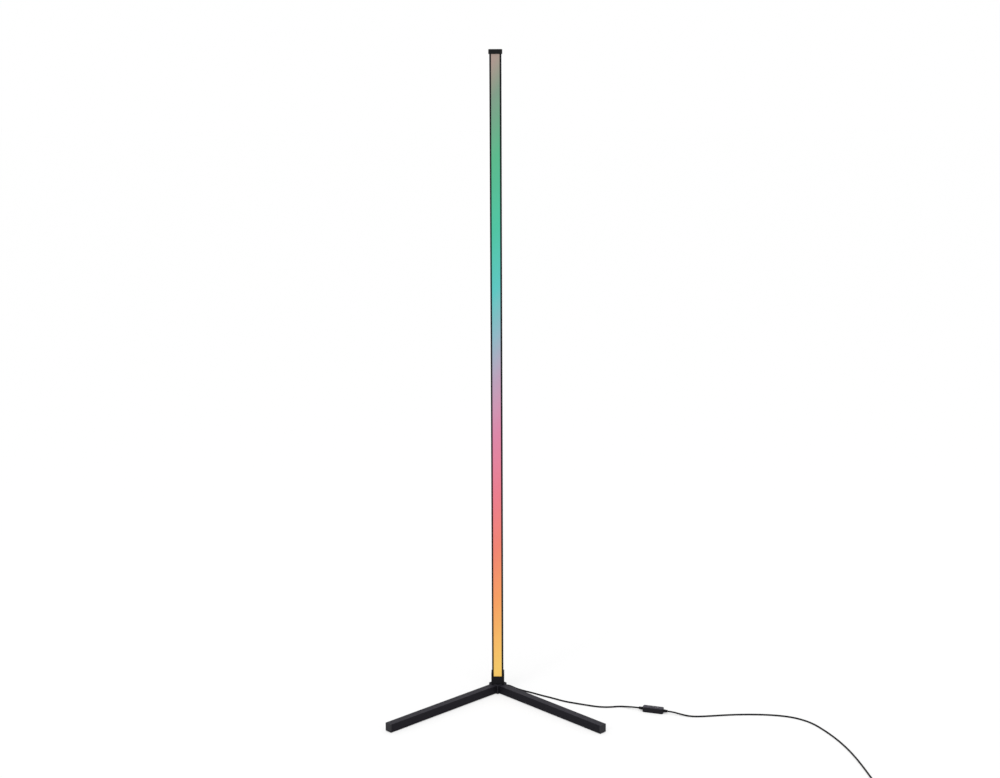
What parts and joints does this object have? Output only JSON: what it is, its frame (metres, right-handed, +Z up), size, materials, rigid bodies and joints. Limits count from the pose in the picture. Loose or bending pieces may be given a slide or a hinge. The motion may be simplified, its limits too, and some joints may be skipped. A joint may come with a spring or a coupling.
{
  "type": "corner floor lamp",
  "caption": "Tall corner floor lamp: a slim square light pole with a milky front stands in a holder on two square legs at right angles, with an inline controller and a plug on its cord.",
  "frame": {"origin": "on the floor, under the axis of the pole, at the middle of the hub's rubber pad", "axes": "+Z up the pole, -Y from the pole to the viewer, between the legs, +X to the viewer's right"},
  "size_m": [0.9866, 0.5694, 1.4224],
  "materials": {
    "pole": "black anodised, satin",
    "bare_aluminium": "mill finish",
    "diffuser": "milky, lit from behind",
    "strip": "satin",
    "led": "gloss",
    "strip_lead": "matt",
    "black_plastic": "matt",
    "gloss_cap": "high gloss",
    "black_screw": "blackened",
    "bare_steel": "zinc plated",
    "holder": "satin gloss",
    "base_metal": "black powder coat",
    "leg": "black powder coat",
    "end_cap": "satin",
    "rubber_pad": "matt",
    "cord_rubber": "satin",
    "connector": "satin",
    "controller_case": "fine texture",
    "button": "satin",
    "board": "lacquered",
    "chip": "matt",
    "lens": "clear",
    "tie": "matt",
    "plug_body": "satin",
    "plug_shell": "nickel plated",
    "plug_tongue": "satin",
    "contact": "gold plated"
  },
  "bodies": {
    "lamp": {"pole_section_1": "pole", "pole_section_2": "pole", "pole_section_3": "pole", "pole_section_4": "pole", "splice_bar_1": "bare_aluminium", "splice_bar_2": "bare_aluminium", "splice_bar_3": "bare_aluminium", "light_diffuser": "diffuser", "led_strip": "strip", "led_packages": "led", "strip_lead": "strip_lead", "bottom_cap": "black_plastic", "top_cap": "gloss_cap", "splice_screws": "black_screw", "top_cap_screws": "black_screw", "holder_clamp_screws": "black_screw", "pole_holder": "holder", "hub_body": "base_metal", "hub_cover": "base_metal", "hub_cover_screws": "bare_steel", "hub_pad": "rubber_pad", "holder_screws": "bare_steel", "leg_left": "leg", "leg_right": "leg", "leg_plug_left": "bare_steel", "leg_plug_right": "bare_steel", "leg_end_cap_left": "end_cap", "leg_end_cap_right": "end_cap", "leg_pad_left": "rubber_pad", "leg_pad_right": "rubber_pad", "leg_bolts": "bare_steel", "cord_gland": "cord_rubber", "cord_inner_lead": "cord_rubber", "cord_connector": "connector", "strip_connector": "connector", "controller_bottom_housing": "controller_case", "controller_top_housing": "controller_case", "controller_board": "board", "controller_chips": "chip", "switch_bases": "chip", "indicator_lens": "lens", "controller_screws": "bare_steel", "relief_lamp_side": "cord_rubber", "relief_plug_side": "cord_rubber", "cord_to_controller": "cord_rubber", "cord_to_coil": "cord_rubber", "cord_coil": "cord_rubber", "coil_tie": "tie", "plug_relief": "cord_rubber", "plug_body": "plug_body", "plug_shell": "plug_shell", "plug_tongue": "plug_tongue", "plug_contacts": "contact"},
    "button_power": {"button_power": "button"},
    "button_mode": {"button_mode": "button"},
    "button_music": {"button_music": "button"}
  },
  "joints": [
    {"name": "power_press", "type": "slide", "parent": "lamp", "child": "button_power", "axis": [0, 0, -1], "range_m": [0, 0.0005], "stiffness_N_per_m": 400},
    {"name": "mode_press", "type": "slide", "parent": "lamp", "child": "button_mode", "axis": [0, 0, -1], "range_m": [0, 0.0005], "stiffness_N_per_m": 400},
    {"name": "music_press", "type": "slide", "parent": "lamp", "child": "button_music", "axis": [0, 0, -1], "range_m": [0, 0.0005], "stiffness_N_per_m": 400}
  ]
}
